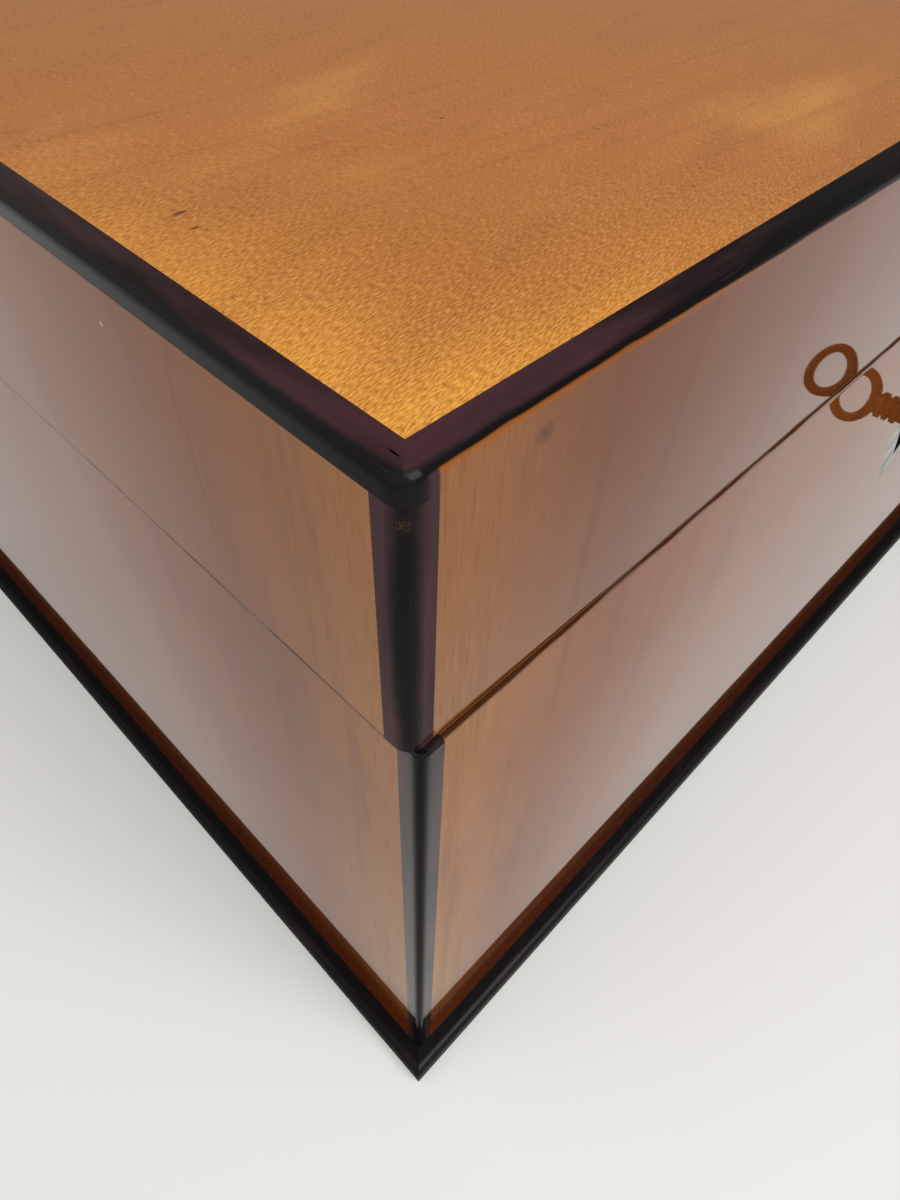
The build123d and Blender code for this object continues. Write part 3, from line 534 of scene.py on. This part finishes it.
def ebonised_wood(name, trim, turn, gloss=0.5, roughness=0.1, brown=0.0, around=None, worn=0.0, corner=None):
    """Pearwood stained black and polished thinly. Around a box's corners the polish is worn off along the
    arris, and scratches at the near one may show bare wood. Toward a single corner, if one is given, the
    black is thin, cracked and dull."""
    material, tree = start_material(name)
    from_corner = 0.0
    if corner:
        along = spot(tree, corner, (100 * MM, 100 * MM, 100 * MM))
        gloss = add(tree, "ShaderNodeMapRange", {"Value": along, "To Min": 0.2, "To Max": gloss}).outputs[0]
        from_corner = spot(tree, corner, (90 * MM, 90 * MM, 0.3 * MM))
    if around:
        low, high = around
        from_middle = [beside(tree, axis, (low[i] + high[i]) / 2)[0] for i, axis in enumerate("XY")]
        out = add(tree, "ShaderNodeMath", {0: from_middle[0], 1: from_middle[1]}, operation="ADD").outputs[0]
        arris = (high[0] - low[0] + high[1] - low[1]) / 2
        gloss = add(tree, "ShaderNodeMapRange", {
            "Value": out, "From Min": arris - ARRIS_DULL[0], "From Max": arris - ARRIS_DULL[1],
            "To Min": gloss, "To Max": 0.06,
        }).outputs[0]
        from_corner = add(tree, "ShaderNodeMapRange", {
            "Value": out, "From Min": arris - ARRIS_BLACK[0], "From Max": arris - ARRIS_BLACK[1],
            "To Max": 2.0,
        }).outputs[0]
    wood = stained_black(tree, trim, turn, brown, from_corner)
    if corner:
        crack_place = corner[0] + 1.4 * MM, corner[1] + 3.2 * MM, corner[2]
        crack = spot(tree, crack_place, (0.13 * MM, 0.75 * MM, 1 * MM))
        wood = lay(tree, wood, linear("#000000"), crack, 1.2, 0.6)
    if worn:
        scratch = grain_pattern(tree, turn, 0.4 * MM, 0.1 * MM, 4.0)
        bare = spot(tree, (low[0], low[1], high[2] - 2.0 * MM), (1.1 * MM, 1.1 * MM, 1.3 * MM))
        bare = add(tree, "ShaderNodeMath", {0: scratch, 1: -3.0, 2: bare},
                   operation="MULTIPLY_ADD").outputs[0]
        wood = lay(tree, wood, trim.bare, bare, -0.4, -1.1, worn)
    grain = grain_pattern(tree, turn, 30 * MM, 4 * MM, 4.0)
    height = add(tree, "ShaderNodeMath", {0: grain, 1: 0.03 * MM}, operation="MULTIPLY").outputs[0]
    french_polish(tree, wood, gloss, height, roughness)
    return material


def core_board(name, trim, turn):
    """Planed softwood: matt, with straight dark late wood lines along the board, and darkened at the joint by
    stain and painted shade.
    """
    material, tree = start_material(name)
    line = grain_pattern(tree, turn, 260 * MM, 3.2 * MM, 3.0)
    fibre = grain_pattern(tree, turn, 9 * MM, 0.4 * MM)
    wood = lay(tree, trim.board, trim.board_line, line, 0.45, 0.68)
    wood = lay(tree, wood, trim.board_line, fibre, 0.5, 0.8, 0.25)
    from_joint, _ = beside(tree, "Z", JOINT)
    # Stain and painted shade on the rims along the joint under the lid
    wood = lay(tree, wood, trim.rim, from_joint, 3.2 * MM, 2.6 * MM, 0.85)
    raised = add(tree, "ShaderNodeBump", {"Height": fibre, "Strength": 0.3, "Distance": 0.1 * MM}).outputs[0]
    shader = add(tree, "ShaderNodeBsdfPrincipled", {"Base Color": wood, "Roughness": 0.62, "Normal": raised})
    add(tree, "ShaderNodeOutputMaterial", {"Surface": shader.outputs[0]})
    return material


def old_metal(name, bright, dull, roughness):
    """Filed metal gone dull: a soft mirror with darker tarnish in clouds and fine file marks."""
    material, tree = start_material(name)
    tarnish = grain_pattern(tree, GRAIN_ALONG_X, 6 * MM, 6 * MM, 5.0)
    filing = grain_pattern(tree, GRAIN_ALONG_X, 5 * MM, 0.15 * MM)
    metal = lay(tree, bright, dull, tarnish, 0.4, 0.7)
    rough = add(tree, "ShaderNodeMapRange", {
        "Value": tarnish, "From Min": 0.35, "From Max": 0.7, "To Min": roughness, "To Max": roughness + 0.2,
    }).outputs[0]
    marks = add(tree, "ShaderNodeBump", {
        "Height": filing, "Strength": 0.25, "Distance": 0.03 * MM,
    }).outputs[0]
    shader = add(tree, "ShaderNodeBsdfPrincipled", {
        "Base Color": metal, "Metallic": 1.0, "Roughness": rough, "Normal": marks,
    })
    add(tree, "ShaderNodeOutputMaterial", {"Surface": shader.outputs[0]})
    return material


def lay_floor(scene, stage):
    """Lays a square floor of matt painted board under the box."""
    material, tree = start_material("painted_board_floor")
    shader = add(tree, "ShaderNodeBsdfPrincipled", {
        "Base Color": stage.floor, "Roughness": 0.6, "Specular IOR Level": 0.2,
    })
    add(tree, "ShaderNodeOutputMaterial", {"Surface": shader.outputs[0]})
    mesh = bpy.data.meshes.new("floor")
    corners = np.array([[-1, -1, 0], [1, -1, 0], [1, 1, 0], [-1, 1, 0]]) * FLOOR_REACH
    mesh.from_pydata(corners.tolist(), [], [[0, 1, 2, 3]])
    mesh.materials.append(material)
    floor = bpy.data.objects.new("floor", mesh)
    scene.collection.objects.link(floor)


def light_room(scene, stage):
    """Lights the room: dim before the camera, which the top mirrors, and brighter behind it on the left."""
    world = bpy.data.worlds.new("studio")
    scene.world = world
    world.use_nodes = True
    tree = world.node_tree
    tree.nodes.clear()
    way = add(tree, "ShaderNodeTexCoord").outputs["Generated"]
    toward = add(tree, "ShaderNodeVectorMath", {0: way, 1: BRIGHT_SIDE},
                 operation="DOT_PRODUCT").outputs["Value"]
    light = lay(tree, stage.room_dim, stage.room_bright, toward, -0.1, 0.95)
    back = add(tree, "ShaderNodeBackground", {"Color": light, "Strength": stage.room_strength})
    add(tree, "ShaderNodeOutputWorld", {"Surface": back.outputs[0]})


def hang_lamp(scene, stage):
    """Hangs a square soft lamp before the box and above it."""
    lamp = bpy.data.lights.new("soft_lamp", "AREA")
    lamp.shape = "RECTANGLE"
    lamp.size = stage.lamp_size
    lamp.size_y = stage.lamp_size
    lamp.energy = stage.lamp_power
    soft_lamp = bpy.data.objects.new("soft_lamp", lamp)
    soft_lamp.location = LAMP_PLACE
    soft_lamp.rotation_euler = (LAMP_AIM - LAMP_PLACE).to_track_quat("-Z", "Y").to_euler()
    scene.collection.objects.link(soft_lamp)


def set_camera(scene, stage):
    """Stands the camera where the photograph was taken from."""
    lens = bpy.data.cameras.new("camera")
    lens.lens = stage.lens
    lens.sensor_width = FILM_LONG_SIDE
    lens.clip_start = NEAREST_SEEN
    camera = bpy.data.objects.new("camera", lens)
    camera.location = stage.camera_place
    camera.rotation_euler = stage.camera_turn
    scene.collection.objects.link(camera)
    scene.camera = camera
    scene.view_settings.view_transform = "Standard"


class BOX_OT_top_veneer(bpy.types.Operator):
    """Polishes the top veneer."""

    bl_idname = "box.top_veneer"
    bl_label = "Polish the top veneer"

    def execute(self, context):
        polished = top_veneer("polished_veneer_top", context.scene.box_veneer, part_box("lid_top_veneer"))
        dress(["lid_top_veneer"], polished)
        return {"FINISHED"}


class BOX_OT_side_veneers(bpy.types.Operator):
    """Polishes the veneers of the four sides and lays the leaning veneer of the body's front."""

    bl_idname = "box.side_veneers"
    bl_label = "Polish the side veneers"

    def execute(self, context):
        looks, trim = context.scene.box_veneer, context.scene.box_trim
        plain = side_veneer("polished_veneer_sides", looks, trim, looks.side_pale, looks.side_deep)
        leaning = side_veneer("polished_veneer_lid_front", looks, trim, looks.lid_pale, looks.lid_deep,
                              LID_LEAN)
        dress([n for n in NODES if n.endswith("_veneer") and n != "lid_top_veneer"], plain)
        dress(["lid_front_veneer"], leaning)
        panel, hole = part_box("body_front_veneer"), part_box("escutcheon_border")
        front = lozenge_panel("body_front_veneer_face", panel, hole)
        front.data.materials.append(plain)
        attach(front, "carcass")
        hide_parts("body_front_veneer")
        return {"FINISHED"}


class BOX_OT_corner_strips(bpy.types.Operator):
    """Blackens the corner strips."""

    bl_idname = "box.corner_strips"
    bl_label = "Ebonise the corner strips"

    def execute(self, context):
        trim = context.scene.box_trim
        for part, gloss, brown, worn in (("body", 0.57, 0.15, 0.0), ("lid", 0.2, LID_STRIP_BROWN, 0.3)):
            strips = [n for n in NODES if n.startswith(part + "_corner_strip")]
            corners = np.array([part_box(n) for n in strips])
            around = corners[:, 0].min(axis=0), corners[:, 1].max(axis=0)
            material = ebonised_wood(f"ebonised_pearwood_{part}_strips", trim, GRAIN_UPRIGHT, gloss,
                                     roughness=0.06, brown=brown, around=around, worn=worn)
            dress(strips, material)
        return {"FINISHED"}


class BOX_OT_edging(bpy.types.Operator):
    """Blackens the edging round the top, which is rubbed through below on the front."""

    bl_idname = "box.edging"
    bl_label = "Ebonise the edging"

    def execute(self, context):
        looks, trim = context.scene.box_veneer, context.scene.box_trim
        low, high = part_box("lid_edging_front")
        along_y = ebonised_wood("ebonised_pearwood_edging_side", trim, GRAIN_ALONG_Y, 1.0, RUBBED_ROUGHNESS,
                                brown=0.3, corner=(low.x, low.y, high.z))
        along_x = ebonised_wood("ebonised_pearwood_edging_back", trim, GRAIN_ALONG_X)
        rubbed = side_veneer("rubbed_pearwood_edging_front", looks, trim, looks.lid_pale, looks.lid_deep,
                             LID_LEAN, black_above=high.z - 0.5 * MM)
        dress(["lid_edging_left", "lid_edging_right"], along_y)
        dress(["lid_edging_back"], along_x)
        dress(["lid_edging_front"], rubbed)
        return {"FINISHED"}


class BOX_OT_plinth(bpy.types.Operator):
    """Blackens the plinth."""

    bl_idname = "box.plinth"
    bl_label = "Ebonise the plinth"

    def execute(self, context):
        trim = context.scene.box_trim
        runs = (
            ("side", ("left", "right"), GRAIN_ALONG_Y, 0.15),
            ("front", ("front", "back"), GRAIN_ALONG_X, 0.3),
        )
        for run, places, turn, gloss in runs:
            material = ebonised_wood(f"ebonised_pearwood_plinth_{run}", trim, turn, gloss, roughness=0.35,
                                     brown=-0.15)
            dress(["plinth_" + place for place in places], material)
        return {"FINISHED"}


class BOX_OT_escutcheon(bpy.types.Operator):
    """Finishes the pale border and the black middle of the escutcheon."""

    bl_idname = "box.escutcheon"
    bl_label = "Finish the escutcheon"

    def execute(self, context):
        trim = context.scene.box_trim
        dress(["escutcheon_border"], old_metal("white_metal", trim.white_metal, trim.steel, 0.2))
        matt_black = ebonised_wood("ebonised_pearwood_escutcheon", trim, GRAIN_UPRIGHT, 0.03, roughness=0.5,
                                   brown=-0.2)
        dress(["escutcheon_centre"], matt_black)
        return {"FINISHED"}


class BOX_OT_core_boards(bpy.types.Operator):
    """Gives the core boards their planed softwood, and the bottom its nails' steel."""

    bl_idname = "box.core_boards"
    bl_label = "Finish the core boards"

    def execute(self, context):
        trim = context.scene.box_trim
        boards = [n for n in NODES if n.endswith("_board")]
        across = [n for n in boards if n.endswith(("left_board", "right_board"))]
        dress(across, core_board("planed_softwood_side", trim, GRAIN_ALONG_Y))
        dress(sorted(set(boards) - set(across)), core_board("planed_softwood_front", trim, GRAIN_ALONG_X))
        dress(["bottom_nails"], old_metal("old_steel_nails", trim.steel, trim.steel_dull, 0.35))
        return {"FINISHED"}


class BOX_OT_hinges(bpy.types.Operator):
    """Finishes the brass leaves and the steel pins and screws of the hinges."""

    bl_idname = "box.hinges"
    bl_label = "Finish the hinges"

    def execute(self, context):
        trim = context.scene.box_trim
        parts = [n for n in NODES if n.startswith("hinge_")]
        leaves = [n for n in parts if n.endswith("_leaf")]
        dress(leaves, old_metal("old_brass_hinges", trim.brass, trim.brass_dull, 0.28))
        pins = sorted(set(parts) - set(leaves))
        dress(pins, old_metal("old_steel_hinges", trim.steel, trim.steel_dull, 0.3))
        return {"FINISHED"}


class BOX_OT_lock(bpy.types.Operator):
    """Finishes the brass plates and the steel bolt, pins and screws of the lock."""

    bl_idname = "box.lock"
    bl_label = "Finish the lock"

    def execute(self, context):
        trim = context.scene.box_trim
        plates = ["lock_plate", "lock_cap", "link_plate"]
        dress(plates, old_metal("old_brass_lock", trim.brass, trim.brass_dull, 0.28))
        works = [n for n in NODES if n.startswith(("lock_", "link_")) and n not in plates]
        dress(works, old_metal("old_steel_lock", trim.steel, trim.steel_dull, 0.3))
        return {"FINISHED"}


class BOX_OT_key(bpy.types.Operator):
    """Finishes the browned iron key."""

    bl_idname = "box.key"
    bl_label = "Finish the key"

    def execute(self, context):
        trim = context.scene.box_trim
        dress(["key"], old_metal("browned_iron", trim.key_iron, trim.key_worn, 0.35))
        return {"FINISHED"}


class BOX_OT_stage(bpy.types.Operator):
    """Lays the floor and sets the light and the camera."""

    bl_idname = "box.stage"
    bl_label = "Set the stage"

    def execute(self, context):
        stage = context.scene.box_stage
        for step in (lay_floor, light_room, hang_lamp, set_camera):
            step(context.scene, stage)
        return {"FINISHED"}


OPERATORS = [BOX_OT_top_veneer, BOX_OT_side_veneers, BOX_OT_corner_strips, BOX_OT_edging, BOX_OT_plinth,
             BOX_OT_escutcheon, BOX_OT_core_boards, BOX_OT_hinges, BOX_OT_lock, BOX_OT_key, BOX_OT_stage]


class BOX_PT_box(bpy.types.Panel):
    """Lists the box's pieces and settings."""

    bl_idname = "BOX_PT_box"
    bl_label = "Veneered box"
    bl_space_type = "VIEW_3D"
    bl_region_type = "UI"
    bl_category = "Box"

    def draw(self, context):
        for operator in OPERATORS:
            self.layout.operator(operator.bl_idname)
        for name, group in SETTINGS.items():
            column = self.layout.column()
            for setting in group.__annotations__:
                column.prop(getattr(context.scene, name), setting)


CLASSES = [*SETTINGS.values(), *OPERATORS, BOX_PT_box]


def register():
    for item in CLASSES:
        bpy.utils.register_class(item)
    for name, group in SETTINGS.items():
        setattr(bpy.types.Scene, name, PointerProperty(type=group))


def unregister():
    for name in SETTINGS:
        delattr(bpy.types.Scene, name)
    for item in reversed(CLASSES):
        bpy.utils.unregister_class(item)


def main():
    register()
    for operator in OPERATORS:
        group, name = operator.bl_idname.split(".")
        getattr(getattr(bpy.ops, group), name)()


if __name__ == "__main__":
    main()
